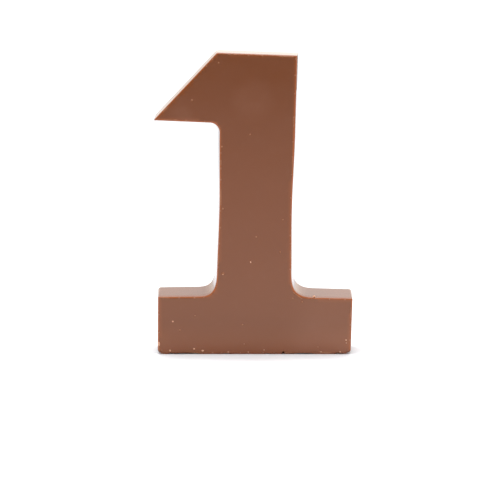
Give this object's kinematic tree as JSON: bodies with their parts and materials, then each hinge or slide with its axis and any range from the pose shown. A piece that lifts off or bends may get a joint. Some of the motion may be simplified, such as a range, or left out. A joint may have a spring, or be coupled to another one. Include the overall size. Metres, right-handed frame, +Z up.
{
  "type": "chocolate number one",
  "caption": "Solid moulded milk chocolate numeral one with a slanted flag, a slightly waisted stem and a slab foot, standing upright on its foot.",
  "frame": {"origin": "middle of the bounding box in X and Y, on the surface that the foot stands on", "axes": "+Z up along the stem, the flat moulded front faces -Y, +X to the right as the number is read"},
  "size_m": [0.0994, 0.02, 0.1505],
  "materials": {
    "milk_chocolate": "milk chocolate, satin on the flat moulded front, glossier on the drafted walls, duller and slightly uneven on the poured back, with a few pinholes, specks and crumbs"
  },
  "bodies": {
    "root": {"chocolate_number_one": "milk_chocolate"}
  },
  "joints": []
}
